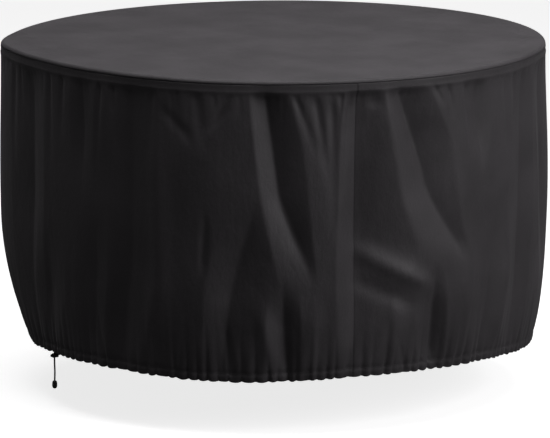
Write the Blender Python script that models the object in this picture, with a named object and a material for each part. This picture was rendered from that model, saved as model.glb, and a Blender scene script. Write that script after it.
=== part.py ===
"""Round patio furniture cover: a flat top panel, one skirt with a gathered hem, and the drawcord's free end.

The cover hangs from the table top that it fits over, so the frame's origin is the middle of the top
panel's underside, +Z is up and -Y is the front. Azimuths run from the front (0) towards +X (90 degrees).
All sizes are in metres.
"""

import math
from collections import namedtuple

import bmesh
import bpy
from mathutils import Matrix, Vector

# Cloth
CLOTH = 0.002  # thickness of the coated cloth
TOP_RADIUS = 0.640  # outside radius of the rim, as cut
RIM_ROUND = 0.008  # the cloth's outside radius where it turns over the rim
TOP_SIDES = 99  # an odd number, so that no edge crosses the middle of the top
RIM_STEPS = 3
SKIRT_COLUMNS = 168
GAP = 0.0003  # between two pieces that touch

# Gathered hem
CHANNEL = 0.0052  # thickness of the hem, with the drawcord inside
GATHERS = 44  # gathers around the hem
GATHER_DEPTH = 0.0030
GATHER_LIFT = 0.0028
GATHER_START = 0.90  # share of the drop where the gathers begin to show

# Drawcord, cord lock and stopper
CORD_AZIMUTH = -61.8
CORD_RADIUS = 0.0020
CORD_LENGTH = 0.0755
CORD_POINTS = 12
CORD_SWAY = 0.0006
LOCK_DEPTH = 0.0092  # from the hem down to the axis of the cord lock
BARREL_RADIUS = 0.00525
BARREL_INNER_END, BARREL_MOUTH = -0.0088, 0.0050  # along the lock's axis, from the cord
BORE_RADIUS, BORE_END = 0.0039, -0.0074
PLUNGER_RADIUS = 0.0035
PLUNGER_INNER_END, PLUNGER_BUTTON = -0.0040, 0.0092
PLUNGER_STROKE = 0.0030
CORD_CLEARANCE = 0.0004
EDGE_ROUND = 0.0006
ROUND_SIDES = 32

# Where the skirt's drop is cut into sections: share of the drop, and thickness there.
Section = namedtuple("Section", "share thickness")
SECTIONS = (
    Section(0.000, CLOTH),
    Section(0.032, CLOTH),
    Section(0.090, CLOTH),
    Section(0.210, CLOTH),
    Section(0.350, CLOTH),
    Section(0.480, CLOTH),
    Section(0.600, CLOTH),
    Section(0.710, CLOTH),
    Section(0.810, CLOTH),
    Section(0.895, CLOTH),
    Section(0.962, CLOTH * 1.2),
    Section(1.000, CHANNEL),
)

# The rim's outside radius by azimuth, as the top panel lies on the furniture: pulled out to a blunt point
# at the left, and drawn in on both sides of it.
Rim = namedtuple("Rim", "azimuth radius")
RIM = (
    Rim(-160, 0.619),
    Rim(-138, 0.611),
    Rim(-118, 0.612),
    Rim(-101, 0.622),
    Rim(-87, 0.637),
    Rim(-73, 0.620),
    Rim(-58, 0.606),
    Rim(-42, 0.606),
    Rim(-28, 0.615),
    Rim(-12, 0.629),
    Rim(12, 0.634),
    Rim(45, 0.636),
    Rim(90, 0.640),
    Rim(128, 0.641),
    Rim(156, 0.637),
    Rim(180, 0.628),
)

# The hem, by azimuth: how far it hangs below the table top, the radius that the drawcord draws it in to,
# the share of the drop where the cloth starts to turn in, and how far it stands out halfway down.
Hem = namedtuple("Hem", "azimuth drop radius turn flare")
HEM = (
    Hem(-150, 0.690, 0.578, 0.66, 0.002),
    Hem(-115, 0.693, 0.574, 0.62, 0.002),
    Hem(-86, 0.699, 0.573, 0.56, 0.004),
    Hem(-60, 0.687, 0.583, 0.62, 0.002),
    Hem(-30, 0.687, 0.594, 0.64, 0.003),
    Hem(-10, 0.691, 0.602, 0.66, 0.004),
    Hem(20, 0.682, 0.606, 0.67, 0.004),
    Hem(50, 0.686, 0.608, 0.69, 0.005),
    Hem(86, 0.704, 0.613, 0.70, 0.008),
    Hem(120, 0.696, 0.606, 0.68, 0.006),
    Hem(160, 0.690, 0.594, 0.66, 0.004),
)

# The skirt's creases. Each is a fold line that runs down from the seam: its azimuth at its upper and
# lower end, bow (over 1 when it turns late), how far the cloth falls into it from the left and from the
# right, its depth, and the share of the drop where it starts and ends. One that ends past 1 runs under
# the hem. Left and right are as seen from outside.
Crease = namedtuple("Crease", "upper lower bow left right depth start end")
CREASES = (
    # front, left to right
    Crease(-66.0, -67.5, 1.0, 0.095, 0.070, 0.013, 0.03, 0.85),
    Crease(-58.0, -61.0, 1.0, 0.070, 0.080, 0.012, 0.60, 1.20),
    Crease(-46.3, -45.0, 1.0, 0.045, 0.055, 0.011, 0.02, 0.44),
    Crease(-41.0, -44.0, 1.0, 0.070, 0.060, 0.012, 0.50, 1.20),
    Crease(-31.8, -33.5, 1.0, 0.055, 0.078, 0.015, 0.02, 1.10),
    Crease(-16.5, -15.0, 1.0, 0.045, 0.060, 0.008, 0.02, 0.30),
    Crease(-3.5, -11.0, 0.6, 0.060, 0.095, 0.014, 0.40, 1.10),
    Crease(-1.5, 7.5, 2.0, 0.042, 0.075, 0.024, 0.02, 0.66),
    Crease(2.0, 3.0, 1.0, 0.050, 0.045, 0.018, 0.64, 1.20),
    Crease(17.6, 17.6, 1.0, 0.060, 0.070, 0.020, 0.02, 1.05),
    Crease(17.6, 17.6, 1.0, 0.045, 0.130, 0.012, 0.22, 0.78),
    Crease(26.8, 42.0, 1.7, 0.045, 0.070, 0.022, 0.02, 0.68),
    Crease(35.5, 36.6, 1.0, 0.055, 0.040, 0.020, 0.64, 1.20),
    Crease(47.5, 49.0, 1.0, 0.055, 0.050, 0.011, 0.02, 0.42),
    Crease(53.0, 51.5, 1.0, 0.075, 0.060, 0.011, 0.46, 1.15),
    Crease(64.5, 62.0, 1.0, 0.065, 0.060, 0.011, 0.02, 1.10),
    # right side and back
    Crease(77.0, 82.0, 1.5, 0.070, 0.080, 0.013, 0.02, 0.85),
    Crease(96.0, 91.0, 1.3, 0.060, 0.095, 0.019, 0.02, 1.15),
    Crease(113.0, 116.0, 1.0, 0.090, 0.070, 0.015, 0.04, 0.80),
    Crease(124.0, 121.0, 1.0, 0.055, 0.060, 0.017, 0.60, 1.20),
    Crease(135.0, 141.0, 1.8, 0.055, 0.090, 0.022, 0.02, 0.90),
    Crease(154.0, 150.0, 1.2, 0.085, 0.075, 0.016, 0.02, 1.15),
    Crease(172.0, 176.0, 1.5, 0.070, 0.085, 0.020, 0.03, 0.78),
    Crease(187.0, 183.0, 1.0, 0.060, 0.065, 0.016, 0.58, 1.20),
    Crease(196.0, 203.0, 1.6, 0.060, 0.095, 0.021, 0.02, 0.95),
    Crease(217.0, 213.0, 1.0, 0.080, 0.070, 0.014, 0.02, 1.15),
    Crease(233.0, 238.0, 1.4, 0.065, 0.085, 0.018, 0.03, 0.82),
    Crease(250.0, 247.0, 1.0, 0.070, 0.070, 0.014, 0.40, 1.20),
    Crease(262.0, 265.0, 1.3, 0.055, 0.060, 0.010, 0.02, 0.92),
)
CREASE_RISE, CREASE_FADE = 0.09, 0.24  # shares of the drop over which a crease opens and closes
NARROWEST = 0.6  # how wide a crease is at its ends, against its middle
DRAW_POWER = 2.1
FLARE_END = 0.9


def smooth(t):
    """0 to 1 with a soft start and end."""
    t = min(1.0, max(0.0, t))
    return t * t * (3 - 2 * t)


def turned(azimuth):
    """An azimuth brought to between -180 and 180 degrees."""
    return (azimuth + 180.0) % 360.0 - 180.0


def curve(low, high, slope_low, slope_high, t):
    """From low to high with given slopes at both ends, as t goes from 0 to 1."""
    rise = high - low
    squared = 3 * rise - 2 * slope_low - slope_high
    cubed = slope_low + slope_high - 2 * rise
    return low + slope_low * t + squared * t**2 + cubed * t**3


def between(rows, azimuth):
    """The row of a table at any azimuth, on a smooth closed curve through its own rows."""
    kind = type(rows[0])
    rows = sorted(rows)
    ring = [row._replace(azimuth=row.azimuth - 360) for row in rows[-2:]] + rows
    ring += [row._replace(azimuth=row.azimuth + 360) for row in rows[:2]]
    azimuth = turned(azimuth)
    for before, low, high, after in zip(ring, ring[1:], ring[2:], ring[3:]):
        if not low.azimuth <= azimuth <= high.azimuth:
            continue
        span = high.azimuth - low.azimuth
        t = (azimuth - low.azimuth) / span
        arriving = span / (high.azimuth - before.azimuth)
        leaving = span / (after.azimuth - low.azimuth)
        values = zip(before, low, high, after)
        return kind(*(curve(b, c, (c - a) * arriving, (d - b) * leaving, t) for a, b, c, d in values))
    raise ValueError(f"no row reaches azimuth {azimuth}")


def rim_radius(azimuth):
    return between(RIM, azimuth).radius


def crease_depth(azimuth, share):
    """How far all creases together draw the cloth in at a point of the skirt."""
    total = 0.0
    for c in CREASES:
        if not c.start < share < c.end:
            continue
        along = (share - c.start) / (c.end - c.start)
        line = c.upper + (c.lower - c.upper) * along**c.bow
        strength = smooth((share - c.start) / CREASE_RISE) * smooth((c.end - share) / CREASE_FADE)
        arc = math.radians(turned(azimuth - line)) * TOP_RADIUS
        run = (c.right if arc > 0 else c.left) * (NARROWEST + (1 - NARROWEST) * strength)
        total += c.depth * strength * max(0.0, 1 - abs(arc) / run)
    return total


def skirt_point(azimuth, share):
    """(radius, height) of the skirt's outer face."""
    hem = between(HEM, azimuth)
    rim = rim_radius(azimuth)
    seam = -RIM_ROUND + CLOTH - GAP
    height = seam - share * (hem.drop + seam)
    drawn = (rim - hem.radius) * max(0.0, (share - hem.turn) / (1 - hem.turn)) ** DRAW_POWER
    stands_out = hem.flare * math.sin(math.pi * min(1.0, share / FLARE_END)) ** 2
    radius = rim + stands_out - drawn - crease_depth(azimuth, share)
    gather = smooth((share - GATHER_START) / (1 - GATHER_START))
    wave = math.sin(math.radians(azimuth) * GATHERS + 2.0 * math.sin(math.radians(azimuth) * 7))
    radius += GATHER_DEPTH * gather * wave
    height += GATHER_LIFT * gather * wave
    return radius, height


def placed(azimuth, radius, height):
    """A point of the frame from its azimuth, radius and height."""
    angle = math.radians(azimuth)
    return Vector((radius * math.sin(angle), -radius * math.cos(angle), height))


def material(name, colour, roughness):
    made = bpy.data.materials.new(name)
    made.use_nodes = True
    shader = made.node_tree.nodes["Principled BSDF"]
    shader.inputs["Base Color"].default_value = (*colour, 1)
    shader.inputs["Roughness"].default_value = roughness
    shader.inputs["Metallic"].default_value = 0.0
    return made


def to_object(name, bm, finish, smooth_angle=40):
    """Closes off a bmesh as a named object with its material."""
    bmesh.ops.recalc_face_normals(bm, faces=bm.faces)
    mesh = bpy.data.meshes.new(name)
    bm.to_mesh(mesh)
    bm.free()
    mesh.materials.append(finish)
    mesh.shade_smooth()
    mesh.set_sharp_from_angle(angle=math.radians(smooth_angle))
    made = bpy.data.objects.new(name, mesh)
    bpy.context.collection.objects.link(made)
    return made


def bridge(bm, first, second):
    """Quads between two rings of the same number of vertices."""
    count = len(first)
    for i in range(count):
        j = (i + 1) % count
        bm.faces.new((first[i], first[j], second[j], second[i]))


def build_top(finish):
    """The top panel: flat, turned down over the rim, and open underneath."""

    def half_section(radius, flat_height, edge):
        # from the flat, round the rim to the seam: how far inside the rim, and how high
        points = [(-RIM_ROUND, flat_height)]
        for step in range(1, RIM_STEPS + 1):
            angle = math.radians(90 - 90 * step / RIM_STEPS)
            points.append((radius * math.cos(angle) - RIM_ROUND, edge + radius * math.sin(angle)))
        return points

    arc_height = CLOTH - RIM_ROUND
    outside = half_section(RIM_ROUND, CLOTH, arc_height)
    inside = half_section(RIM_ROUND - CLOTH, 0.0, arc_height)
    bm = bmesh.new()
    azimuths = [360 * i / TOP_SIDES for i in range(TOP_SIDES)]
    rings = [
        [bm.verts.new(placed(a, rim_radius(a) + inset, height)) for a in azimuths]
        for inset, height in outside + inside[::-1]
    ]
    for first, second in zip(rings, rings[1:]):
        bridge(bm, first, second)
    bm.faces.new(rings[0])
    bm.faces.new(rings[-1][::-1])
    return to_object("top_panel", bm, finish)


def build_skirt(finish):
    """The skirt: one strip sewn into a ring, with its folds and its gathered hem."""
    bm = bmesh.new()
    azimuths = [360 * i / SKIRT_COLUMNS for i in range(SKIRT_COLUMNS)]
    outer, inner = [], []
    for section in SECTIONS:
        points = [skirt_point(a, section.share) for a in azimuths]
        outer.append([bm.verts.new(placed(a, r, z)) for a, (r, z) in zip(azimuths, points)])
        inner.append(
            [bm.verts.new(placed(a, r - section.thickness, z)) for a, (r, z) in zip(azimuths, points)]
        )
    rings = outer + inner[::-1]
    for first, second in zip(rings, rings[1:] + rings[:1]):
        bridge(bm, first, second)
    return to_object("skirt_panel", bm, finish, smooth_angle=60)


def cord_exit():
    """Where the drawcord leaves the underside of the hem."""
    column = 360 / SKIRT_COLUMNS
    radius, _ = skirt_point(CORD_AZIMUTH, 1.0)
    # the lowest that the hem comes on both sides of the cord
    height = min(skirt_point(CORD_AZIMUTH + side * column, 1.0)[1] for side in (-1, 0, 1))
    return placed(CORD_AZIMUTH, radius - CHANNEL / 2, height - GAP)


def build_cord(finish):
    """The free end of the drawcord, straight down through the lock and into the stopper."""
    curve = bpy.data.curves.new("drawcord_end", "CURVE")
    curve.dimensions = "3D"
    curve.bevel_depth = CORD_RADIUS
    curve.bevel_resolution = 2
    curve.use_fill_caps = True
    spline = curve.splines.new("POLY")
    spline.points.add(CORD_POINTS - 1)
    start = cord_exit()
    for i, point in enumerate(spline.points):
        along = i / (CORD_POINTS - 1)
        sway = CORD_SWAY * math.sin(math.pi * smooth((along - 0.3) / 0.7))
        point.co = (start.x + sway, start.y, start.z - CORD_LENGTH * along, 1)
    curve.materials.append(finish)
    made = bpy.data.objects.new("drawcord_end", curve)
    bpy.context.collection.objects.link(made)
    return made


def lock_frame():
    """The cord lock's own axes: X out of the cover along the lock, and Z up along the cord."""
    outwards = placed(CORD_AZIMUTH, 1.0, 0.0)
    up = Vector((0, 0, 1))
    across = up.cross(outwards)
    frame = Matrix((outwards, across, up)).transposed().to_4x4()
    frame.translation = cord_exit() - up * LOCK_DEPTH
    return frame


def cylinder(bm, radius, low, high, axis="X"):
    """A closed cylinder along one of its own axes, between two stations."""
    turn = Matrix.Rotation(math.radians(90), 4, "Y") if axis == "X" else Matrix.Identity(4)
    middle = (low + high) / 2
    shift = Matrix.Translation((middle, 0, 0) if axis == "X" else (0, 0, middle))
    bmesh.ops.create_cone(
        bm,
        cap_ends=True,
        segments=ROUND_SIDES,
        radius1=radius,
        radius2=radius,
        depth=high - low,
        matrix=shift @ turn,
    )


def hidden_cutter(name, bm, place):
    cutter = to_object(name, bm, bpy.data.materials["lock_plastic"])
    cutter.matrix_world = place
    cutter.hide_render = True
    cutter.display_type = "WIRE"
    return cutter


def cut(target, cutter, name):
    modifier = target.modifiers.new(name, "BOOLEAN")
    modifier.operation = "DIFFERENCE"
    modifier.solver = "EXACT"
    modifier.object = cutter


def round_edges(bm, station):
    """Softens the two ends of a turned piece."""
    rims = [e for e in bm.edges if e.calc_face_angle(0) > math.radians(60)]
    bmesh.ops.bevel(bm, geom=rims, offset=station, segments=2, affect="EDGES", profile=0.5)


def build_lock(finish):
    """The cord lock: a blind barrel, and the plunger that its spring pushes out against the cord."""
    place = lock_frame()
    hole = CORD_RADIUS + CORD_CLEARANCE

    bm = bmesh.new()
    cylinder(bm, BARREL_RADIUS, BARREL_INNER_END, BARREL_MOUTH)
    round_edges(bm, EDGE_ROUND)
    barrel = to_object("lock_barrel", bm, finish)
    barrel.matrix_world = place
    bm = bmesh.new()
    cylinder(bm, BORE_RADIUS, BORE_END, BARREL_MOUTH + PLUNGER_STROKE)
    cut(barrel, hidden_cutter("bore_cutter", bm, place), "bore")
    bm = bmesh.new()
    cylinder(bm, hole, -2 * BARREL_RADIUS, 2 * BARREL_RADIUS, axis="Z")
    cut(barrel, hidden_cutter("cord_hole_cutter", bm, place), "cord_hole")

    bm = bmesh.new()
    cylinder(bm, PLUNGER_RADIUS, PLUNGER_INNER_END, PLUNGER_BUTTON)
    round_edges(bm, EDGE_ROUND)
    plunger = to_object("lock_plunger", bm, finish)
    plunger.matrix_world = place
    # The slot is longer than the cord is thick by the plunger's stroke.
    bm = bmesh.new()
    bmesh.ops.create_cube(bm, size=1.0)
    slot_low, slot_high = -hole, hole + PLUNGER_STROKE
    size = Vector((slot_high - slot_low, 2 * hole, 4 * PLUNGER_RADIUS))
    bmesh.ops.scale(bm, vec=size, verts=bm.verts)
    bmesh.ops.translate(bm, vec=((slot_low + slot_high) / 2, 0, 0), verts=bm.verts)
    cut(plunger, hidden_cutter("slot_cutter", bm, place), "slot")
    return barrel, plunger


# The stopper's turned outline, from the mouth of its bore round the outside to its foot: radius, depth.
Turn = namedtuple("Turn", "radius depth")
STOPPER_BORE = CORD_RADIUS + CORD_CLEARANCE
STOPPER_DEPTH = 0.0185
CORD_IN_STOPPER = 0.0060
STOPPER = (
    Turn(STOPPER_BORE, 0.0000),
    Turn(0.0040, 0.0000),
    Turn(0.0050, 0.0012),
    Turn(0.0056, 0.0040),
    Turn(0.0060, 0.0080),
    Turn(0.0060, 0.0120),
    Turn(0.0053, 0.0150),
    Turn(0.0034, 0.0176),
    Turn(0.0000, STOPPER_DEPTH),
    Turn(0.0000, CORD_IN_STOPPER + 0.0006),
    Turn(STOPPER_BORE, CORD_IN_STOPPER + 0.0006),
)


def build_stopper(finish):
    """The stopper on the cord's end, turned from its outline, with a blind bore for the cord."""
    end = cord_exit() - Vector((0, 0, CORD_LENGTH - CORD_IN_STOPPER))
    bm = bmesh.new()
    rings = []
    for turn in STOPPER:
        if turn.radius == 0:
            rings.append([bm.verts.new((0, 0, -turn.depth))])
            continue
        angles = [2 * math.pi * i / ROUND_SIDES for i in range(ROUND_SIDES)]
        ring = [(turn.radius * math.cos(a), turn.radius * math.sin(a), -turn.depth) for a in angles]
        rings.append([bm.verts.new(point) for point in ring])
    for first, second in zip(rings, rings[1:] + rings[:1]):
        if len(first) == len(second) == 1:
            continue
        if len(first) == len(second):
            bridge(bm, first, second)
            continue
        ring, tip = (first, second[0]) if len(second) == 1 else (second, first[0])
        for i in range(ROUND_SIDES):
            bm.faces.new((ring[i], ring[(i + 1) % ROUND_SIDES], tip))
    stopper = to_object("cord_stopper", bm, finish)
    stopper.location = end
    return stopper


def main():
    for old in list(bpy.data.objects):
        bpy.data.objects.remove(old)
    cloth = material("cover_cloth", (0.046, 0.043, 0.047), 0.62)
    cord = material("drawcord", (0.020, 0.019, 0.021), 0.75)
    plastic = material("lock_plastic", (0.018, 0.017, 0.018), 0.42)
    build_top(cloth)
    build_skirt(cloth)
    build_cord(cord)
    build_lock(plastic)
    build_stopper(plastic)


main()
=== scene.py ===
"""The looks of the round patio furniture cover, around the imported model.

The cloth with its folds and stitches, the drawcord's end, and the finishes. Metres, +Z up, -Y the front;
azimuths are in degrees and run from the front towards +X.
"""

import math
from collections import namedtuple

import bmesh
import bpy
import numpy as np
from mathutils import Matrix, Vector


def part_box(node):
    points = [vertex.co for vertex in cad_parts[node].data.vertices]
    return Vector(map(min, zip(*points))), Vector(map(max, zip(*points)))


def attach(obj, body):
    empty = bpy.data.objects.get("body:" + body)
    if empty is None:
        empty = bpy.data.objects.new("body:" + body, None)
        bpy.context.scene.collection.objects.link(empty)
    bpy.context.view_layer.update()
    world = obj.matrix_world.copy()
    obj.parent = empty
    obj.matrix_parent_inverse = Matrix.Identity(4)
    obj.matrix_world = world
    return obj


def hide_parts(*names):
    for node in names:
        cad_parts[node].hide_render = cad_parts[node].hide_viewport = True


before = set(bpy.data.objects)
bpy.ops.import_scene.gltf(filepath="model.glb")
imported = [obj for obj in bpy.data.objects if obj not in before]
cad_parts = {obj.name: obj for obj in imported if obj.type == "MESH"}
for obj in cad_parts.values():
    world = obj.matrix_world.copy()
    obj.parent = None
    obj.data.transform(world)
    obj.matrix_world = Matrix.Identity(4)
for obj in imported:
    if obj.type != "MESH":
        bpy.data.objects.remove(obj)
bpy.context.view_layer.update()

# ---------------------------------------------------------------- sizes that repeat the model's

CLOTH = 0.002
RIM_ROUND = 0.008
SEAM_HEIGHT = -0.006  # where the top panel ends and the skirt begins
CHANNEL = 0.0052
CORD_RADIUS = 0.0020
CORD_LENGTH = 0.0755
CORD_SWAY = 0.0006
SWAY_START = 0.3  # the share of the cord that hangs straight before it sways
CORD_POINTS = 24
DRAW_POWER = 2.1
FLARE_END = 0.9
FULL_TURN = 360.0

Rim = namedtuple("Rim", "azimuth radius")
RIM = (
    Rim(-160, 0.619),
    Rim(-138, 0.611),
    Rim(-118, 0.612),
    Rim(-101, 0.622),
    Rim(-87, 0.637),
    Rim(-73, 0.620),
    Rim(-58, 0.606),
    Rim(-42, 0.606),
    Rim(-28, 0.615),
    Rim(-12, 0.629),
    Rim(12, 0.634),
    Rim(45, 0.636),
    Rim(90, 0.640),
    Rim(128, 0.641),
    Rim(156, 0.637),
    Rim(180, 0.628),
)

Hem = namedtuple("Hem", "azimuth drop radius turn flare")
HEM = (
    Hem(-150, 0.690, 0.578, 0.66, 0.002),
    Hem(-115, 0.693, 0.574, 0.62, 0.002),
    Hem(-86, 0.699, 0.573, 0.56, 0.004),
    Hem(-60, 0.687, 0.583, 0.62, 0.002),
    Hem(-30, 0.687, 0.594, 0.64, 0.003),
    Hem(-10, 0.691, 0.602, 0.66, 0.004),
    Hem(20, 0.682, 0.606, 0.67, 0.004),
    Hem(50, 0.686, 0.608, 0.69, 0.005),
    Hem(86, 0.704, 0.613, 0.70, 0.008),
    Hem(120, 0.696, 0.606, 0.68, 0.006),
    Hem(160, 0.690, 0.594, 0.66, 0.004),
)

# The main creases. Each is a trough whose line runs down through its stations: share of the drop, azimuth,
# how far the cloth falls into it from the left and from the right, and its depth there.
Station = namedtuple("Station", "share azimuth left right depth")
CREASES = {
    "long fold left of the middle": (
        Station(0.00, -1.7, 0.034, 0.055, 0.004),
        Station(0.05, -1.5, 0.034, 0.056, 0.020),
        Station(0.22, 0.0, 0.039, 0.068, 0.025),
        Station(0.39, 1.4, 0.040, 0.064, 0.025),
        Station(0.53, 5.0, 0.060, 0.034, 0.018),
        Station(0.60, 7.0, 0.068, 0.018, 0.007),
        Station(0.66, 8.0, 0.070, 0.012, 0.000),
    ),
    "fold along the joining seam": (
        Station(0.00, 17.6, 0.028, 0.060, 0.002),
        Station(0.05, 17.6, 0.030, 0.064, 0.014),
        Station(0.22, 17.6, 0.038, 0.080, 0.024),
        Station(0.46, 17.6, 0.045, 0.112, 0.030),
        Station(0.58, 17.6, 0.048, 0.150, 0.031),
        Station(0.72, 17.6, 0.048, 0.090, 0.024),
        Station(0.88, 17.6, 0.042, 0.060, 0.014),
        Station(1.00, 17.6, 0.036, 0.040, 0.004),
    ),
    "long fold right of the seam": (
        Station(0.00, 26.8, 0.034, 0.070, 0.004),
        Station(0.05, 27.3, 0.038, 0.078, 0.021),
        Station(0.22, 31.4, 0.055, 0.090, 0.027),
        Station(0.40, 34.8, 0.078, 0.070, 0.026),
        Station(0.53, 39.6, 0.092, 0.034, 0.015),
        Station(0.62, 43.0, 0.090, 0.024, 0.000),
    ),
    "short fold under the rim on the right": (
        Station(0.00, 46.8, 0.050, 0.040, 0.002),
        Station(0.06, 47.0, 0.050, 0.042, 0.010),
        Station(0.20, 48.0, 0.048, 0.036, 0.012),
        Station(0.35, 48.6, 0.040, 0.026, 0.000),
    ),
    "low fold on the right": (
        Station(0.44, 53.5, 0.070, 0.055, 0.000),
        Station(0.62, 52.6, 0.075, 0.058, 0.009),
        Station(0.85, 51.8, 0.070, 0.050, 0.011),
        Station(1.00, 51.2, 0.050, 0.040, 0.004),
    ),
    "fold near the right edge": (
        Station(0.00, 64.5, 0.055, 0.050, 0.002),
        Station(0.10, 64.4, 0.060, 0.055, 0.008),
        Station(0.50, 63.6, 0.070, 0.060, 0.012),
        Station(0.90, 62.2, 0.060, 0.050, 0.009),
        Station(1.00, 62.0, 0.050, 0.040, 0.003),
    ),
    "low slanting fold in the middle": (
        Station(0.40, -3.2, 0.050, 0.024, 0.000),
        Station(0.54, -6.0, 0.066, 0.058, 0.016),
        Station(0.68, -8.5, 0.062, 0.108, 0.020),
        Station(0.85, -10.0, 0.052, 0.080, 0.014),
        Station(1.00, -11.4, 0.040, 0.050, 0.004),
    ),
    "short fold above the hem": (
        Station(0.68, 2.2, 0.030, 0.030, 0.000),
        Station(0.79, 2.4, 0.042, 0.038, 0.018),
        Station(0.92, 2.7, 0.038, 0.034, 0.017),
        Station(1.00, 3.0, 0.030, 0.028, 0.005),
    ),
    "short fold above the hem on the right": (
        Station(0.66, 35.6, 0.040, 0.024, 0.000),
        Station(0.79, 36.2, 0.060, 0.030, 0.020),
        Station(0.93, 36.6, 0.050, 0.030, 0.019),
        Station(1.00, 36.8, 0.034, 0.028, 0.005),
    ),
    "fold on the left": (
        Station(0.00, -31.6, 0.045, 0.070, 0.002),
        Station(0.08, -31.8, 0.050, 0.076, 0.010),
        Station(0.40, -32.0, 0.055, 0.080, 0.015),
        Station(0.66, -32.6, 0.058, 0.080, 0.017),
        Station(0.88, -35.0, 0.056, 0.076, 0.012),
        Station(1.00, -36.0, 0.040, 0.050, 0.004),
    ),
    "low fold on the left": (
        Station(0.46, -41.0, 0.060, 0.050, 0.000),
        Station(0.66, -42.0, 0.066, 0.056, 0.009),
        Station(0.88, -43.6, 0.060, 0.050, 0.010),
        Station(1.00, -44.4, 0.044, 0.040, 0.003),
    ),
    "narrow fold on the left": (
        Station(0.00, -46.4, 0.036, 0.044, 0.002),
        Station(0.07, -46.4, 0.038, 0.046, 0.009),
        Station(0.22, -46.2, 0.036, 0.046, 0.011),
        Station(0.40, -45.8, 0.026, 0.036, 0.000),
    ),
    "fold near the left edge": (
        Station(0.00, -66.0, 0.080, 0.060, 0.002),
        Station(0.10, -66.0, 0.095, 0.068, 0.011),
        Station(0.45, -66.4, 0.100, 0.072, 0.014),
        Station(0.80, -67.4, 0.080, 0.064, 0.008),
        Station(1.00, -68.0, 0.050, 0.040, 0.002),
    ),
    "low fold near the drawcord": (
        Station(0.55, -57.6, 0.060, 0.066, 0.000),
        Station(0.78, -59.4, 0.070, 0.078, 0.011),
        Station(1.00, -61.6, 0.050, 0.050, 0.004),
    ),
    "right side, leaning back": (
        Station(0.00, 77.0, 0.060, 0.070, 0.002),
        Station(0.12, 77.4, 0.066, 0.076, 0.011),
        Station(0.50, 79.4, 0.070, 0.080, 0.014),
        Station(0.85, 82.0, 0.050, 0.060, 0.000),
    ),
    "right side, deep": (
        Station(0.00, 96.0, 0.050, 0.080, 0.003),
        Station(0.10, 95.8, 0.056, 0.090, 0.017),
        Station(0.50, 94.0, 0.060, 0.095, 0.021),
        Station(0.85, 91.6, 0.056, 0.080, 0.015),
        Station(1.00, 91.0, 0.040, 0.050, 0.005),
    ),
    "right side, broad": (
        Station(0.02, 113.0, 0.070, 0.060, 0.002),
        Station(0.30, 114.0, 0.090, 0.070, 0.016),
        Station(0.60, 115.4, 0.080, 0.066, 0.012),
        Station(0.80, 116.0, 0.060, 0.050, 0.000),
    ),
    "back, low right": (
        Station(0.56, 124.0, 0.044, 0.048, 0.000),
        Station(0.76, 122.6, 0.055, 0.060, 0.016),
        Station(1.00, 121.0, 0.040, 0.044, 0.005),
    ),
    "back, leaning left": (
        Station(0.00, 135.0, 0.048, 0.080, 0.004),
        Station(0.08, 135.2, 0.052, 0.088, 0.020),
        Station(0.45, 136.8, 0.056, 0.090, 0.024),
        Station(0.75, 140.0, 0.066, 0.060, 0.013),
        Station(0.92, 141.4, 0.060, 0.040, 0.000),
    ),
    "back, right of the middle": (
        Station(0.00, 154.0, 0.070, 0.060, 0.002),
        Station(0.16, 153.4, 0.084, 0.072, 0.014),
        Station(0.60, 151.6, 0.085, 0.075, 0.018),
        Station(1.00, 150.0, 0.050, 0.046, 0.005),
    ),
    "back, middle": (
        Station(0.02, 172.0, 0.060, 0.074, 0.002),
        Station(0.14, 172.4, 0.068, 0.084, 0.018),
        Station(0.48, 174.4, 0.070, 0.086, 0.021),
        Station(0.76, 176.0, 0.050, 0.056, 0.000),
    ),
    "back, low middle": (
        Station(0.56, 187.0, 0.048, 0.050, 0.000),
        Station(0.78, 185.0, 0.060, 0.065, 0.016),
        Station(1.00, 183.0, 0.040, 0.044, 0.005),
    ),
    "back, left of the middle": (
        Station(0.00, 196.0, 0.052, 0.084, 0.004),
        Station(0.10, 196.4, 0.058, 0.094, 0.020),
        Station(0.50, 199.0, 0.062, 0.092, 0.022),
        Station(0.80, 202.6, 0.056, 0.060, 0.011),
        Station(0.96, 203.6, 0.044, 0.040, 0.000),
    ),
    "back, broad on the left": (
        Station(0.00, 217.0, 0.066, 0.056, 0.002),
        Station(0.20, 216.4, 0.080, 0.070, 0.013),
        Station(0.70, 214.4, 0.076, 0.068, 0.015),
        Station(1.00, 213.0, 0.050, 0.044, 0.005),
    ),
    "left side, leaning": (
        Station(0.02, 233.0, 0.056, 0.074, 0.002),
        Station(0.14, 233.4, 0.064, 0.084, 0.016),
        Station(0.50, 235.6, 0.064, 0.084, 0.018),
        Station(0.82, 238.0, 0.046, 0.056, 0.000),
    ),
    "left side, low": (
        Station(0.38, 250.0, 0.060, 0.060, 0.000),
        Station(0.66, 248.6, 0.070, 0.070, 0.014),
        Station(1.00, 247.0, 0.046, 0.046, 0.005),
    ),
    "left side, upright": (
        Station(0.00, 262.0, 0.050, 0.054, 0.002),
        Station(0.16, 262.6, 0.055, 0.060, 0.010),
        Station(0.60, 264.0, 0.054, 0.058, 0.010),
        Station(0.92, 265.0, 0.040, 0.040, 0.000),
    ),
}

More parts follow.
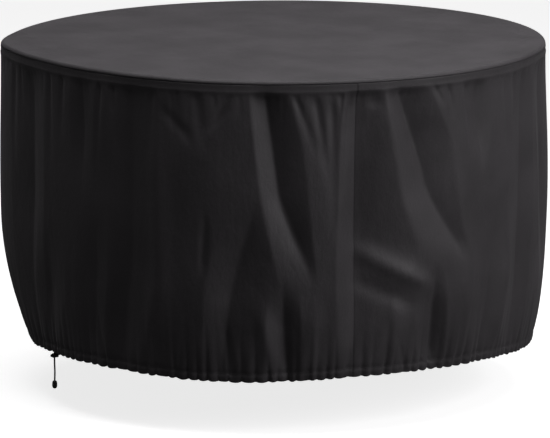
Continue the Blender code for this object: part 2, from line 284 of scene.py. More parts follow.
# Small pleats that fan out of the seam and die out lower down: azimuth and share of the drop at both ends,
# half their width there, and depth.
Pleat = namedtuple("Pleat", "top_azimuth top bottom_azimuth bottom top_half bottom_half depth")
PLEATS = (
    Pleat(4.2, 0.02, 9.6, 0.26, 0.009, 0.016, 0.0050),
    Pleat(8.6, 0.02, 11.8, 0.36, 0.011, 0.015, 0.0060),
    Pleat(12.2, 0.02, 12.9, 0.52, 0.012, 0.018, 0.0066),
    Pleat(16.2, 0.02, 13.9, 0.40, 0.010, 0.014, 0.0064),
    Pleat(14.3, 0.02, 13.5, 0.18, 0.007, 0.010, 0.0040),
    Pleat(34.6, 0.01, 37.6, 0.10, 0.006, 0.009, 0.0050),
    Pleat(38.4, 0.01, 40.6, 0.16, 0.008, 0.012, 0.0044),
    Pleat(43.4, 0.01, 45.4, 0.28, 0.010, 0.014, 0.0050),
    Pleat(56.8, 0.01, 57.6, 0.40, 0.012, 0.018, 0.0044),
    Pleat(60.4, 0.01, 60.0, 0.22, 0.010, 0.013, 0.0036),
    Pleat(-8.4, 0.03, -12.6, 0.15, 0.009, 0.015, 0.0040),
    Pleat(-16.4, 0.02, -13.8, 0.24, 0.012, 0.020, 0.0046),
    Pleat(-20.2, 0.02, -20.8, 0.14, 0.008, 0.014, 0.0036),
    Pleat(-26.2, 0.02, -27.4, 0.30, 0.010, 0.018, 0.0046),
    Pleat(-36.6, 0.01, -36.0, 0.24, 0.010, 0.016, 0.0044),
    Pleat(-40.4, 0.01, -41.4, 0.34, 0.009, 0.015, 0.0050),
    Pleat(-52.6, 0.01, -53.4, 0.26, 0.010, 0.016, 0.0046),
    Pleat(-57.6, 0.01, -57.2, 0.36, 0.010, 0.016, 0.0044),
    Pleat(-74.6, 0.01, -75.0, 0.40, 0.012, 0.018, 0.0050),
)

# Soft ridges and dents: centre, lean from upright (its foot towards the right), length, width and height.
Ridge = namedtuple("Ridge", "azimuth share lean length width height")
RIDGES = (
    Ridge(26.0, 0.640, 62, 0.210, 0.046, 0.0110),
    Ridge(24.0, 0.720, 66, 0.150, 0.040, -0.0070),
    Ridge(21.2, 0.055, 0, 0.040, 0.046, -0.0050),
    Ridge(26.4, 0.860, 0, 0.150, 0.050, 0.0060),
    Ridge(-14.2, 0.540, -4, 0.110, 0.020, -0.0050),
    Ridge(-1.0, 0.860, 10, 0.150, 0.050, 0.0060),
    Ridge(8.0, 0.880, -8, 0.160, 0.050, 0.0060),
    Ridge(43.5, 0.800, -6, 0.260, 0.070, 0.0070),
    Ridge(57.0, 0.780, -8, 0.240, 0.060, 0.0050),
    Ridge(-20.5, 0.140, 48, 0.090, 0.026, -0.0034),
    Ridge(-11.5, 0.120, -42, 0.080, 0.024, -0.0034),
    Ridge(-24.5, 0.520, 2, 0.420, 0.060, 0.0050),
    Ridge(-27.5, 0.860, -14, 0.220, 0.060, 0.0040),
)

# ---------------------------------------------------------------- sizes of the fine surface

FRONT_HALF = 96.0  # degrees each side of the front that get the finer columns
FRONT_COLUMNS = 600
BACK_COLUMNS = 330
SEAM_AZIMUTH = 17.6
LAP = 0.0007  # how far the lapped edge of the joining seam stands out
BAND = 0.019  # height of the stitched band under the rim
BAND_STITCH = 0.0165
EDGE_STITCH = 0.0035
HEM_STITCH = 0.019  # above the lowest edge
STITCH_STEP = 0.0042
STITCH_LENGTH = 0.0030
STITCH_RADIUS = 0.00042
STITCH_LIFT = 0.0001  # above the cloth
SEED = 11

# the top panel's slight unevenness, and how it is pulled into small ripples at the rim
TOP_SAG = 0.00055
TOP_SAG_CROSSING = 0.0004
TOP_DIMPLES = 0.0003
TOP_EASE = 0.12  # the share of the radius over which the sag dies out at the rim
RIM_PULL = 0.00035
RIM_PULLS = 37
PULL_START = 0.84

# rows of the seam allowances: how far inside the edge, and how far below it
Allowance = namedtuple("Allowance", "inwards lower")
SKIRT_ALLOWANCE = (Allowance(0.0032, 0.0120), Allowance(0.0026, 0.0060), Allowance(0.0018, 0.0008))
TOP_ALLOWANCE = (Allowance(0.0016, 0.0001), Allowance(0.0020, 0.0060), Allowance(0.0024, 0.0120))
HEM_TURN_ANGLES = (30, 62, 95, 128, 160)
HEM_TURN_STEPS = (0.25, 0.6, 1.0)
HEM_PAST_STITCH = 0.002

RIM_MEAN = 0.63  # the radius at which a turn in degrees becomes a distance along the cloth
MEAN_DROP = 0.69
BAND_SHARE = 0.034  # shares of the drop between which the rows are spaced differently
UPPER_END = 0.30
LOWER_START = 0.80
HEM_SHARE = 0.955
EDGE_TURN_IN = 0.0016
EDGE_TURN_HEIGHT = 0.0032
FOLD_GAIN = 1.12  # the thin cloth folds a little deeper than its solid
CREASE_SOFT = 0.035
CREASE_POWER = 1.12
TAUT_SHARE = 0.12  # how much of a fold still shows in the stitched band
BAND_EASE = 0.022  # the height over which the folds open below the band
BAND_LINE_OUT = 0.0009
BAND_LINE_HALF = 0.004
LAP_HALF = 0.06  # degrees over which the lapped edge rises
LAP_END = 1.5  # degrees from the seam to where the lap has died out
LAP_FADE = 1.2
GATHER_MIDDLE = 0.62
STITCH_PULL = 0.0016
STITCH_PULL_HALF = 0.0045
CHANNEL_SWELL = 0.0010
CHANNEL_SWELL_HALF = 0.008


# ---------------------------------------------------------------- helpers


def smooth(t):
    """0 to 1 with a soft start and end, for numbers and arrays."""
    t = np.clip(t, 0.0, 1.0)
    return t * t * (3 - 2 * t)


def turned(azimuth):
    return (np.asarray(azimuth, float) + 180.0) % FULL_TURN - 180.0


def between(rows, name, azimuths):
    """One column of a table at any azimuths, on a smooth closed curve through its rows."""
    rows = sorted(rows)
    ring = [row._replace(azimuth=row.azimuth - FULL_TURN) for row in rows[-2:]] + rows
    ring += [row._replace(azimuth=row.azimuth + FULL_TURN) for row in rows[:2]]
    azimuths = turned(azimuths)
    result = np.zeros_like(azimuths)
    for before, low, high, after in zip(ring, ring[1:], ring[2:], ring[3:]):
        here = (azimuths >= low.azimuth) & (azimuths <= high.azimuth)
        span = high.azimuth - low.azimuth
        t = (azimuths[here] - low.azimuth) / span
        a, b, c, d = (getattr(row, name) for row in (before, low, high, after))
        arriving = (c - a) * span / (high.azimuth - before.azimuth)
        leaving = (d - b) * span / (after.azimuth - low.azimuth)
        rise = c - b
        squared = 3 * rise - 2 * arriving - leaving
        cubed = arriving + leaving - 2 * rise
        result[here] = b + arriving * t + squared * t**2 + cubed * t**3
    return result


def down(stations, name, shares, softness=0.03):
    """One column of a crease's stations at any shares of the drop, with its corners rounded off."""
    at = [station.share for station in stations]
    values = [getattr(station, name) for station in stations]
    steps = np.linspace(-softness, softness, 5)
    return sum(np.interp(shares + step, at, values) for step in steps) / len(steps)


def placed(azimuth, radius, height):
    """Points of the frame, as one array, from azimuths, radii and heights."""
    angle = np.radians(azimuth)
    return np.stack(np.broadcast_arrays(radius * np.sin(angle), -radius * np.cos(angle), height), axis=-1)


def grid_mesh(name, points):
    """A mesh of quads from points[row][column], closed into a ring across the columns."""
    rows, columns = points.shape[:2]
    index = np.arange(rows * columns).reshape(rows, columns)
    right = np.roll(index, -1, axis=1)
    faces = np.stack([index[:-1], index[1:], right[1:], right[:-1]], axis=-1).reshape(-1, 4)
    mesh = bpy.data.meshes.new(name)
    mesh.from_pydata(points.reshape(-1, 3).tolist(), [], faces.tolist())
    mesh.shade_smooth()
    return mesh


def flat_map(mesh, flat):
    """Stores each vertex's place on the flat cloth, in metres, as a UV map."""
    layer = mesh.uv_layers.new(name="flat")
    corners = np.zeros(len(mesh.loops), np.int32)
    mesh.loops.foreach_get("vertex_index", corners)
    layer.data.foreach_set("uv", flat.reshape(-1, 2)[corners].astype(np.float32).ravel())


def added(name, mesh, *materials):
    made = bpy.data.objects.new(name, mesh)
    bpy.context.scene.collection.objects.link(made)
    for material in materials:
        mesh.materials.append(material)
    return made


# ---------------------------------------------------------------- the skirt's shape


def crease_depth(azimuths, shares):
    """How far the main creases draw the cloth in, for columns of azimuths and rows of shares."""
    total = np.zeros((len(shares), len(azimuths)))
    for stations in CREASES.values():
        line, left, right, depth = (down(stations, name, shares) for name in Station._fields[1:])
        inside = (shares > stations[0].share - 0.02) & (shares < stations[-1].share + 0.02)
        arc = np.radians(turned(azimuths[None, :] - line[:, None])) * RIM_MEAN
        run = np.where(arc > 0, right[:, None], left[:, None])
        away = np.sqrt((arc / run) ** 2 + CREASE_SOFT**2) - CREASE_SOFT
        total += (FOLD_GAIN * depth * inside)[:, None] * np.clip(1 - away, 0, 1) ** CREASE_POWER
    return total


def pleat_depth(azimuths, shares, pleats):
    """How far the small pleats draw the cloth in."""
    total = np.zeros((len(shares), len(azimuths)))
    for p in pleats:
        along = (shares - p.top) / (p.bottom - p.top)
        rows = (along > 0) & (along < 1)
        t = along[rows]
        line = p.top_azimuth + (p.bottom_azimuth - p.top_azimuth) * t
        half = p.top_half + (p.bottom_half - p.top_half) * t
        strength = p.depth * smooth(t / 0.18) * (1 - t) ** 0.8
        arc = np.radians(turned(azimuths[None, :] - line[:, None])) * RIM_MEAN
        total[rows] += strength[:, None] * np.exp(-((arc / half[:, None]) ** 2) * 1.6)
    return total


def ridge_height(azimuths, shares, ridges, drop):
    """How far the soft ridges and dents stand out."""
    total = np.zeros((len(shares), len(azimuths)))
    for r in ridges:
        lean = math.radians(r.lean)
        across = np.radians(turned(azimuths - r.azimuth))[None, :] * RIM_MEAN
        below = ((shares - r.share) * drop)[:, None]
        along = across * math.sin(lean) + below * math.cos(lean)
        beside = across * math.cos(lean) - below * math.sin(lean)
        total += r.height * np.exp(-((along / (r.length / 2)) ** 4) - (beside / (r.width / 2)) ** 2 * 1.4)
    return total


def loose_pleats(rng):
    """The many small pleats that no one would place by hand: under the rim, and fanning up from the hem."""
    pleats = []
    azimuth = -180.0
    while azimuth < 180.0:
        azimuth += rng.uniform(1.6, 4.6)
        reach = rng.uniform(0.05, 0.22)
        drift = rng.normal(0.0, 1.0) * reach * 5
        half = rng.uniform(0.005, 0.011)
        depth = rng.uniform(0.0006, 0.0022)
        pleats.append(Pleat(azimuth, 0.028, azimuth + drift, reach, half, half * 1.8, depth))
    azimuth = -180.0
    while azimuth < 180.0:
        azimuth += rng.uniform(1.4, 3.8)
        reach = rng.uniform(0.74, 0.93)
        drift = rng.normal(0.0, 1.6)
        half = rng.uniform(0.006, 0.012)
        depth = rng.uniform(0.0012, 0.0046)
        # from the hem upwards: the pleat's strong end is its lower one
        pleats.append(Pleat(azimuth, 1.04, azimuth + drift, reach, half, half * 1.6, depth))
    return pleats


def hem_gathers(azimuths, rng):
    """For each column: how far a gather stands out, how low it hangs, and how far up the skirt it shows."""
    starts, azimuth = [], -180.0
    while azimuth < 178.6:
        starts.append(azimuth)
        azimuth += rng.uniform(1.5, 3.3)
    count = len(starts)
    stands_out = rng.uniform(0.0024, 0.0064, count)
    hangs = rng.uniform(0.0015, 0.0060, count)
    reach = rng.uniform(0.035, 0.095, count)
    edges = np.array(starts + [180.0])
    az = turned(azimuths)
    gather = np.clip(np.searchsorted(edges, az, side="right") - 1, 0, count - 1)
    t = (az - edges[gather]) / (edges[gather + 1] - edges[gather])
    lobe = np.sqrt(np.clip(np.sin(np.pi * t), 0, 1))
    return stands_out[gather] * (lobe - GATHER_MIDDLE), hangs[gather] * (lobe - 0.5), reach[gather]


def skirt_columns():
    """Azimuths of the columns: finer in front, with a few close together on the joining seam."""
    front = np.linspace(-FRONT_HALF, FRONT_HALF, FRONT_COLUMNS, endpoint=False)
    back = np.linspace(FRONT_HALF, FULL_TURN - FRONT_HALF, BACK_COLUMNS, endpoint=False)
    seam = SEAM_AZIMUTH + np.array([-LAP_HALF, 0.0, LAP_HALF])
    front = front[np.abs(front - SEAM_AZIMUTH) > 2 * LAP_HALF]
    return np.sort(np.concatenate([front, seam, back]))


def skirt_rows():
    """Shares of the drop of the rows: close together under the rim and above the hem."""
    band = np.linspace(0.0, BAND_SHARE, 9, endpoint=False)
    upper = BAND_SHARE + (UPPER_END - BAND_SHARE) * np.linspace(0, 1, 24, endpoint=False) ** 1.25
    middle = np.linspace(UPPER_END, LOWER_START, 28, endpoint=False)
    lower = np.linspace(LOWER_START, HEM_SHARE, 16, endpoint=False)
    hem = np.linspace(HEM_SHARE, 1.0, 8)
    return np.concatenate([band, upper, middle, lower, hem])


def skirt_surface(azimuths, shares):
    """Radius and height of the skirt's outer face, as arrays of rows and columns."""
    rng = np.random.default_rng(SEED)
    pleats = list(PLEATS) + loose_pleats(rng)
    gather_out, gather_down, gather_reach = hem_gathers(azimuths, rng)
    rim, turn, flare, hem_radius, drop = (
        between(table, name, azimuths)[None, :]
        for table, name in ((RIM, "radius"), (HEM, "turn"), (HEM, "flare"), (HEM, "radius"), (HEM, "drop"))
    )
    s = shares[:, None]
    drawn = (rim - hem_radius) * np.clip((s - turn) / (1 - turn), 0, 1) ** DRAW_POWER
    stands_out = flare * np.sin(np.pi * np.clip(s / FLARE_END, 0, 1)) ** 2
    # the stitched band under the rim stays taut, so the folds only open below it
    below_band = smooth((s * drop - BAND * 0.7) / BAND_EASE)
    folds = crease_depth(azimuths, shares) + pleat_depth(azimuths, shares, pleats)
    folds -= ridge_height(azimuths, shares, RIDGES, MEAN_DROP)
    radius = rim + stands_out - drawn - folds * (TAUT_SHARE + (1 - TAUT_SHARE) * below_band)
    # the band's lower edge stands out a little
    radius += BAND_LINE_OUT * np.exp(-(((s * drop - BAND) / BAND_LINE_HALF) ** 2))
    beside_seam = turned(azimuths - SEAM_AZIMUTH)[None, :]
    lap_rise = smooth((beside_seam + LAP_HALF) / (2 * LAP_HALF))
    lap_fade = smooth((LAP_END - beside_seam) / LAP_FADE)
    radius += LAP * lap_rise * lap_fade
    above_hem = (1 - s) * drop
    gather = np.exp(-((above_hem / gather_reach[None, :]) ** 1.4))
    radius += gather_out[None, :] * gather
    height = SEAM_HEIGHT - s * (drop + SEAM_HEIGHT) - gather_down[None, :] * gather
    # the channel's stitching pulls the cloth in above the drawcord
    radius -= STITCH_PULL * np.exp(-(((above_hem - HEM_STITCH) / STITCH_PULL_HALF) ** 2))
    swell_from = above_hem - HEM_STITCH * 0.45
    radius += CHANNEL_SWELL * np.exp(-((swell_from / CHANNEL_SWELL_HALF) ** 2))
    return radius, height


def build_skirt(cloth):
    """The skirt: a thin sheet from its seam allowance, down the outside and up again inside the hem."""
    azimuths, shares = skirt_columns(), skirt_rows()
    radius, height = skirt_surface(azimuths, shares)
    # the top edge turns in under the rim, as a seam does
    edge_height = SEAM_HEIGHT - height
    radius -= EDGE_TURN_IN * (1 - smooth(edge_height / EDGE_TURN_HEIGHT))
    rows = [placed(azimuths, radius[i], height[i]) for i in range(len(shares))]
    allowance = [
        placed(azimuths, radius[0] - inwards, height[0] - lower)
        for inwards, lower in SKIRT_ALLOWANCE
    ]
    # the hem: once round under the drawcord, and back up inside to its stitching
    turn_up = []
    for angle in HEM_TURN_ANGLES:
        a = math.radians(angle)
        inwards = (1 - math.cos(a)) * CHANNEL / 2
        turn_up.append(placed(azimuths, radius[-1] - inwards, height[-1] - math.sin(a) * CHANNEL / 2))
    for step in HEM_TURN_STEPS:
        inner = np.interp(step, (0, 1), (CHANNEL, CLOTH * 0.7))
        level = height[-1] + step * (HEM_STITCH + HEM_PAST_STITCH)
        under = np.array([np.interp(-z, -height[:, i], radius[:, i]) for i, z in enumerate(level)])
        turn_up.append(placed(azimuths, under - inner, level))
    points = np.array(allowance + rows + turn_up)
    mesh = grid_mesh("skirt_cloth", points)
    around = np.radians(azimuths) * RIM_MEAN
    steps = np.linalg.norm(np.diff(points, axis=0), axis=2).mean(axis=1)
    downwards = np.concatenate([[0.0], np.cumsum(steps)])
    flat_map(mesh, np.stack(np.broadcast_arrays(around[None, :], downwards[:, None]), axis=-1))
    return added("skirt_cloth", mesh, cloth), azimuths, radius, height


# ---------------------------------------------------------------- the top panel


def build_top(cloth):
    """The top: nearly flat, a little uneven, turned down over the rim, with its seam allowance inside."""
    columns = np.linspace(-180, 180, 420, endpoint=False)
    rim = between(RIM, "radius", columns)
    rows, flat = [], []
    for part in np.linspace(0.03, 1.0, 64) ** 0.85:
        reach = (rim - RIM_ROUND) * part
        spot = placed(columns, reach, 0.0)
        x, y = spot[:, 0], spot[:, 1]
        sag = TOP_SAG * np.sin(5.1 * x + 2.3 * y + 0.6)
        sag += TOP_SAG_CROSSING * np.sin(-7.7 * x + 11.0 * y + 1.9)
        sag += TOP_DIMPLES * np.sin(17.0 * x + 5.0 * y) * np.sin(13.0 * y - 6.0 * x + 0.8)
        pull = RIM_PULL * np.sin(np.radians(columns) * RIM_PULLS + 1.5 * np.sin(np.radians(columns) * 5))
        ripples = pull * smooth((part - PULL_START) / 0.1) * smooth((1 - part) / 0.05)
        sag = sag * smooth((1 - part) / TOP_EASE) + ripples
        rows.append(placed(columns, reach, CLOTH + sag))
        flat.append(spot[:, :2])
    for angle in np.linspace(9, 90, 9):
        a = math.radians(angle)
        outwards = RIM_ROUND * math.sin(a) - RIM_ROUND
        level = CLOTH - RIM_ROUND + RIM_ROUND * math.cos(a)
        rows.append(placed(columns, rim + outwards, level))
        flat.append(placed(columns, rim - RIM_ROUND + RIM_ROUND * a, 0.0)[:, :2])
    for inwards, lower in TOP_ALLOWANCE:
        rows.append(placed(columns, rim - inwards, SEAM_HEIGHT - lower))
        flat.append(placed(columns, rim + RIM_ROUND * 0.6 + lower, 0.0)[:, :2])
    points = np.array(rows)
    mesh = grid_mesh("top_cloth", points)
    flat_map(mesh, np.array(flat))
    # close the small hole in the middle
    bm = bmesh.new()
    bm.from_mesh(mesh)
    layer = bm.loops.layers.uv["flat"]
    centre = bm.verts.new((0, 0, CLOTH))
    bm.verts.ensure_lookup_table()
    count = len(columns)
    for i in range(count):
        face = bm.faces.new((centre, bm.verts[i], bm.verts[(i + 1) % count]))
        face.smooth = True
        for loop in face.loops:
            loop[layer].uv = loop.vert.co.xy
    bm.to_mesh(mesh)
    bm.free()
    return added("top_cloth", mesh, cloth)


# ---------------------------------------------------------------- stitches


def stitch_row(name, points, normals):
    """A mesh of short thread capsules along a closed line of points."""
    vertices, faces = [], []
    following = np.roll(points, -1, axis=0)
    lengths = np.linalg.norm(following - points, axis=1)
    travelled = np.concatenate([[0.0], np.cumsum(lengths)])
    total = travelled[-1]
    number = int(total / STITCH_STEP)
    closed_points = np.vstack([points, points[:1]])
    closed_normals = np.vstack([normals, normals[:1]])
    sides = 5
    profile = ((-0.5, 0.25, -0.6), (-0.36, 0.9, 0.25), (0.36, 0.9, 0.25), (0.5, 0.25, -0.6))
    for k in range(number):
        middle = (k + 0.5) * total / number
        ends = []
        for offset in (-0.5, 0.5):
            at = middle + offset * STITCH_LENGTH
            ends.append([np.interp(at, travelled, closed_points[:, axis]) for axis in range(3)])
        normal = np.array([np.interp(middle, travelled, closed_normals[:, axis]) for axis in range(3)])
        start, end = np.array(ends[0]), np.array(ends[1])
        along = end - start
        length = np.linalg.norm(along)
        along /= length
        across = np.cross(normal, along)
        centre = (start + end) / 2
        base = len(vertices)
        for station, size, lift in profile:
            ring = centre + along * station * length + normal * STITCH_RADIUS * lift
            for j in range(sides):
                angle = 2 * math.pi * j / sides
                side = math.cos(angle) * across + math.sin(angle) * normal
                vertices.append(tuple(ring + side * STITCH_RADIUS * size))
        for ring in range(len(profile) - 1):
            for j in range(sides):
                a, b = base + ring * sides + j, base + ring * sides + (j + 1) % sides
                faces.append((a, b, b + sides, a + sides))
        faces.append(tuple(base + j for j in range(sides))[::-1])
        faces.append(tuple(base + (len(profile) - 1) * sides + j for j in range(sides)))
    mesh = bpy.data.meshes.new(name)
    mesh.from_pydata(vertices, [], faces)
    mesh.shade_smooth()
    return mesh


def build_stitches(thread, azimuths, radius, height):
    """The rows of stitching: two under the rim and one along the hem."""

    def line_at(depth_of_column):
        level = -depth_of_column
        r = np.array([np.interp(-z, -height[:, i], radius[:, i]) for i, z in enumerate(level)])
        points = placed(azimuths, r + STITCH_LIFT, level)
        normals = placed(azimuths, np.ones_like(azimuths), 0.0)
        return points, normals

    made = []
    for name, depth in (
        ("rim_stitches_upper", np.full_like(azimuths, -SEAM_HEIGHT + EDGE_STITCH)),
        ("rim_stitches_lower", np.full_like(azimuths, -SEAM_HEIGHT + BAND_STITCH)),
        ("hem_stitches", -height[-1] - HEM_STITCH),
    ):
        points, normals = line_at(depth)
        made.append(added(name, stitch_row(name, points, normals), thread))
    return made


# ---------------------------------------------------------------- the drawcord's free end


def cord_route():
    """The cord's middle line, from the underside of the hem straight down into the stopper."""
    low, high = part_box("drawcord_end")
    start = Vector(((low.x + high.x - CORD_SWAY) / 2, (low.y + high.y) / 2, high.z))
    route = []
    for i in range(CORD_POINTS):
        along = i / (CORD_POINTS - 1)
        sway = CORD_SWAY * math.sin(math.pi * float(smooth((along - SWAY_START) / (1 - SWAY_START))))
        route.append(start + Vector((sway, 0.0, -CORD_LENGTH * along)))
    return route


def build_cord(material):
    """A braided cord: a round tube with the strands' diamond relief."""
    route = cord_route()
    rings, sides, strands, pitch, relief = 150, 24, 8, 0.0064, 0.00016
    along = np.linspace(0, 1, rings)
    given = np.linspace(0, 1, CORD_POINTS)
    line = np.stack([np.interp(along, given, [point[axis] for point in route]) for axis in range(3)], axis=-1)
    angles = np.linspace(0, 2 * np.pi, sides, endpoint=False)
    travel = along * CORD_LENGTH
    wind = travel[:, None] / pitch * 2 * np.pi
    braid = np.abs(np.sin((angles[None, :] * strands / 2 + wind * 2))) * np.abs(
        np.sin((angles[None, :] * strands / 2 - wind * 2))
    )
    radius = CORD_RADIUS - relief + relief * braid
    points = line[:, None, :] + np.stack(
        [radius * np.cos(angles), radius * np.sin(angles), np.zeros_like(radius)], axis=-1
    )
    mesh = grid_mesh("drawcord", points)
    bm = bmesh.new()
    bm.from_mesh(mesh)
    bm.verts.ensure_lookup_table()
    bm.faces.new([bm.verts[i] for i in range(sides)][::-1])
    bm.faces.new([bm.verts[(rings - 1) * sides + i] for i in range(sides)])
    bmesh.ops.recalc_face_normals(bm, faces=bm.faces)
    bm.to_mesh(mesh)
    bm.free()
    mesh.shade_smooth()
    return added("drawcord", mesh, material), route


# ---------------------------------------------------------------- materials


def new_material(name):
    made = bpy.data.materials.new(name)
    made.use_nodes = True
    tree = made.node_tree
    shader = tree.nodes["Principled BSDF"]
    return made, tree, shader


def mixed(tree, factor, a, b, blend="MIX"):
    """A colour mix node; each argument is a socket or a plain value."""
    made = tree.nodes.new("ShaderNodeMix")
    made.data_type = "RGBA"
    made.blend_type = blend
    for socket, value in ((made.inputs[0], factor), (made.inputs[6], a), (made.inputs[7], b)):
        if isinstance(value, bpy.types.NodeSocket):
            tree.links.new(value, socket)
        else:
            socket.default_value = value
    return made.outputs[2]


def math_node(tree, operation, a, b=None, clamp=False):
    made = tree.nodes.new("ShaderNodeMath")
    made.operation = operation
    made.use_clamp = clamp
    for socket, value in zip(made.inputs, (a, b)):
        if isinstance(value, bpy.types.NodeSocket):
            tree.links.new(value, socket)
        elif value is not None:
            socket.default_value = value
    return made.outputs[0]


def ramp(tree, source, low, high, dark=0.0, light=1.0):
    made = tree.nodes.new("ShaderNodeMapRange")
    made.interpolation_type = "SMOOTHSTEP"
    tree.links.new(source, made.inputs["Value"])
    for name, value in (("From Min", low), ("From Max", high), ("To Min", dark), ("To Max", light)):
        made.inputs[name].default_value = value
    return made.outputs["Result"]


def noise(tree, vector, scale, detail=3.0, roughness=0.55, stretch=(1, 1, 1)):
    mapping = tree.nodes.new("ShaderNodeMapping")
    mapping.inputs["Scale"].default_value = stretch
    tree.links.new(vector, mapping.inputs["Vector"])
    made = tree.nodes.new("ShaderNodeTexNoise")
    made.inputs["Scale"].default_value = scale
    made.inputs["Detail"].default_value = detail
    made.inputs["Roughness"].default_value = roughness
    tree.links.new(mapping.outputs[0], made.inputs["Vector"])
    return made.outputs["Fac"]


CLOTH_COLOUR = (0.0500, 0.0462, 0.0500, 1)
YARN = 0.0011  # pitch of the oxford weave's doubled yarns


def cloth_material():
    """Coated oxford weave: fine basket weave, small slubs, faint wrinkles and a little wear."""
    made, tree, shader = new_material("cover_oxford_cloth")
    flat = tree.nodes.new("ShaderNodeUVMap")
    flat.uv_map = "flat"
    vector = flat.outputs[0]
    split = tree.nodes.new("ShaderNodeSeparateXYZ")
    tree.links.new(vector, split.inputs[0])
    warp = math_node(tree, "SINE", math_node(tree, "MULTIPLY", split.outputs[0], 2 * math.pi / YARN))
    weft = math_node(tree, "SINE", math_node(tree, "MULTIPLY", split.outputs[1], 2 * math.pi / YARN))
    weave = math_node(tree, "MULTIPLY", warp, weft)
    slub = noise(tree, vector, 900.0, 2.0, 0.5, (1.0, 0.18, 1.0))
    slub_across = noise(tree, vector, 900.0, 2.0, 0.5, (0.18, 1.0, 1.0))
    cloud = noise(tree, vector, 5.5, 4.0, 0.6)
    crumple = noise(tree, vector, 34.0, 4.0, 0.55, (1.0, 0.45, 1.0))
    fine_crumple = noise(tree, vector, 130.0, 3.0, 0.5, (1.0, 0.7, 1.0))

    light = tuple(c * 1.16 for c in CLOTH_COLOUR[:3]) + (1,)
    dark = tuple(c * 0.86 for c in CLOTH_COLOUR[:3]) + (1,)
    base = mixed(tree, ramp(tree, cloud, 0.32, 0.70), dark, light)
    threads = math_node(tree, "ADD", slub, slub_across)
    thread_shade = ramp(tree, threads, 0.75, 1.25, 0.90, 1.10)
    base = mixed(tree, 1.0, base, thread_shade, "MULTIPLY")
    weave_shade = ramp(tree, weave, -1.0, 1.0, 0.95, 1.05)
    base = mixed(tree, 1.0, base, weave_shade, "MULTIPLY")
    tree.links.new(base, shader.inputs["Base Color"])

    rough = ramp(tree, cloud, 0.30, 0.72, 0.56, 0.68)
    tree.links.new(rough, shader.inputs["Roughness"])
    shader.inputs["Specular IOR Level"].default_value = 0.42
    shader.inputs["Sheen Weight"].default_value = 0.10
    shader.inputs["Sheen Roughness"].default_value = 0.45
    shader.inputs["Sheen Tint"].default_value = (1.0, 0.97, 1.0, 1)

    def bumped(height, distance, strength, before=None):
        bump = tree.nodes.new("ShaderNodeBump")
        bump.inputs["Distance"].default_value = distance
        bump.inputs["Strength"].default_value = strength
        tree.links.new(height, bump.inputs["Height"])
        if before is not None:
            tree.links.new(before, bump.inputs["Normal"])
        return bump.outputs[0]

    normal = bumped(crumple, 0.0030, 0.55)
    normal = bumped(fine_crumple, 0.0009, 0.40, normal)
    normal = bumped(weave, 0.00008, 0.30, normal)
    tree.links.new(normal, shader.inputs["Normal"])
    return made


def thread_material():
    made, tree, shader = new_material("cover_thread")
    place = tree.nodes.new("ShaderNodeTexCoord")
    twist = noise(tree, place.outputs["Object"], 1400.0, 2.0, 0.5)
    shade = mixed(tree, ramp(tree, twist, 0.35, 0.65), (0.030, 0.028, 0.030, 1), (0.062, 0.058, 0.062, 1))
    tree.links.new(shade, shader.inputs["Base Color"])
    shader.inputs["Roughness"].default_value = 0.55
    return made


def cord_material():
    made, tree, shader = new_material("braided_cord")
    place = tree.nodes.new("ShaderNodeTexCoord")
    fibre = noise(tree, place.outputs["Object"], 2600.0, 3.0, 0.6)
    patch = noise(tree, place.outputs["Object"], 160.0, 2.0, 0.5)
    shade = mixed(tree, ramp(tree, fibre, 0.35, 0.65), (0.010, 0.0095, 0.010, 1), (0.030, 0.028, 0.030, 1))
    shade = mixed(tree, 1.0, shade, ramp(tree, patch, 0.3, 0.7, 0.85, 1.15), "MULTIPLY")
    tree.links.new(shade, shader.inputs["Base Color"])
    shader.inputs["Roughness"].default_value = 0.7
    shader.inputs["Sheen Weight"].default_value = 0.2
    bump = tree.nodes.new("ShaderNodeBump")
    bump.inputs["Distance"].default_value = 0.0001
    bump.inputs["Strength"].default_value = 0.5
    tree.links.new(fibre, bump.inputs["Height"])
    tree.links.new(bump.outputs[0], shader.inputs["Normal"])
    return made


def plastic_material():
    """Black moulded plastic with a fine spark-eroded grain and rubbed high spots."""
    made, tree, shader = new_material("lock_moulded_plastic")
    place = tree.nodes.new("ShaderNodeTexCoord")
    grain = noise(tree, place.outputs["Object"], 2200.0, 3.0, 0.6)
    rub = noise(tree, place.outputs["Object"], 260.0, 3.0, 0.55)
    shade = mixed(tree, ramp(tree, rub, 0.40, 0.72), (0.012, 0.0115, 0.012, 1), (0.024, 0.023, 0.024, 1))
    tree.links.new(shade, shader.inputs["Base Color"])
    tree.links.new(ramp(tree, rub, 0.35, 0.70, 0.46, 0.34), shader.inputs["Roughness"])
    bump = tree.nodes.new("ShaderNodeBump")
    bump.inputs["Distance"].default_value = 0.00006
    bump.inputs["Strength"].default_value = 0.5
    tree.links.new(grain, bump.inputs["Height"])
    tree.links.new(bump.outputs[0], shader.inputs["Normal"])
    return made


# ---------------------------------------------------------------- camera, light and floor

CAMERA_LENS = 354.9
CAMERA_DISTANCE = 12.8
CAMERA_ELEVATION = 10.6
CAMERA_AIM = Vector((0.0057, 0.0, -0.4288))
FLOOR_HEIGHT = -0.82
FLOOR_SIZE = 80.0
FLOOR_GLOW = 0.80
DOME_RADIUS = 38.0


def aimed(obj, place, target):
    obj.location = place
    obj.rotation_euler = (Vector(target) - Vector(place)).to_track_quat("-Z", "Y").to_euler()


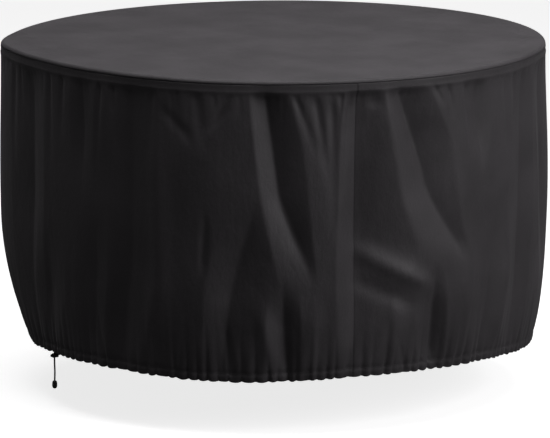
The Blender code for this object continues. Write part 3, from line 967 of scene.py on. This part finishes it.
def build_camera():
    data = bpy.data.cameras.new("camera")
    data.lens = CAMERA_LENS
    data.sensor_width = 36.0
    data.clip_end = 60.0
    camera = bpy.data.objects.new("camera", data)
    bpy.context.scene.collection.objects.link(camera)
    elevation = math.radians(CAMERA_ELEVATION)
    back = Vector((0.0, -math.cos(elevation), math.sin(elevation)))
    aimed(camera, CAMERA_AIM + back * CAMERA_DISTANCE, CAMERA_AIM)
    bpy.context.scene.camera = camera


WORLD_STRENGTH = 0.06
LIGHT_AIM = Vector((0.0, 0.0, -0.30))
LIGHT_COLOUR = (1.0, 0.985, 1.0)
Light = namedtuple("Light", "name azimuth elevation distance width height power")
LIGHTS = (
    Light("overhead", 20, 84, 3.2, 3.4, 3.0, 88),
    Light("front_right", 56, 24, 4.6, 2.0, 2.4, 80),
)


def area_light(row):
    data = bpy.data.lights.new(row.name, "AREA")
    data.shape = "RECTANGLE"
    data.size, data.size_y = row.width, row.height
    data.energy = row.power
    data.color = LIGHT_COLOUR
    light = bpy.data.objects.new(row.name, data)
    bpy.context.scene.collection.objects.link(light)
    a, e = math.radians(row.azimuth), math.radians(row.elevation)
    out = Vector((math.sin(a) * math.cos(e), -math.cos(a) * math.cos(e), math.sin(e)))
    aimed(light, LIGHT_AIM + out * row.distance, LIGHT_AIM)


def build_stage():
    scene = bpy.context.scene
    scene.view_settings.view_transform = "Standard"
    world = bpy.data.worlds.new("studio")
    scene.world = world
    world.use_nodes = True
    back = world.node_tree.nodes["Background"]
    back.inputs["Color"].default_value = (*LIGHT_COLOUR, 1)
    back.inputs["Strength"].default_value = WORLD_STRENGTH
    for light in LIGHTS:
        area_light(light)

    # a pale floor and a pale dome around everything; neither lights the cover
    floor_material, tree, shader = new_material("pale_floor")
    shader.inputs["Base Color"].default_value = (0.80, 0.80, 0.80, 1)
    shader.inputs["Roughness"].default_value = 0.9
    shader.inputs["Emission Color"].default_value = (1, 1, 1, 1)
    shader.inputs["Emission Strength"].default_value = FLOOR_GLOW
    bpy.ops.mesh.primitive_plane_add(size=FLOOR_SIZE, location=(0, 0, FLOOR_HEIGHT))
    floor = bpy.context.object
    floor.name = "floor"
    floor.data.materials.append(floor_material)
    dome_material, tree, shader = new_material("pale_dome")
    shader.inputs["Base Color"].default_value = (0, 0, 0, 1)
    shader.inputs["Emission Color"].default_value = (1, 1, 1, 1)
    shader.inputs["Emission Strength"].default_value = 1.0
    bpy.ops.mesh.primitive_uv_sphere_add(radius=DOME_RADIUS, location=(0, 0, 0))
    dome = bpy.context.object
    dome.name = "dome"
    dome.data.materials.append(dome_material)
    for stage in (floor, dome):
        stage.visible_diffuse = False
        stage.visible_glossy = False
        stage.visible_shadow = False


# ---------------------------------------------------------------- everything together


def main():
    build_camera()
    cord, route = build_cord(cord_material())
    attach(cord, "cover")
    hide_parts("drawcord_end")
    plastic = plastic_material()
    lock_nodes = [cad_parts[name] for name in ("lock_barrel", "lock_plunger", "cord_stopper")]
    for piece in lock_nodes:
        piece.data.materials.clear()
        piece.data.materials.append(plastic)

    cloth, thread = cloth_material(), thread_material()
    skirt, azimuths, radius, height = build_skirt(cloth)
    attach(skirt, "cover")
    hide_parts("skirt_panel")
    top = build_top(cloth)
    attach(top, "cover")
    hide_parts("top_panel")
    stitches = build_stitches(thread, azimuths, radius, height)
    for row in stitches:
        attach(row, "cover")
    build_stage()


main()
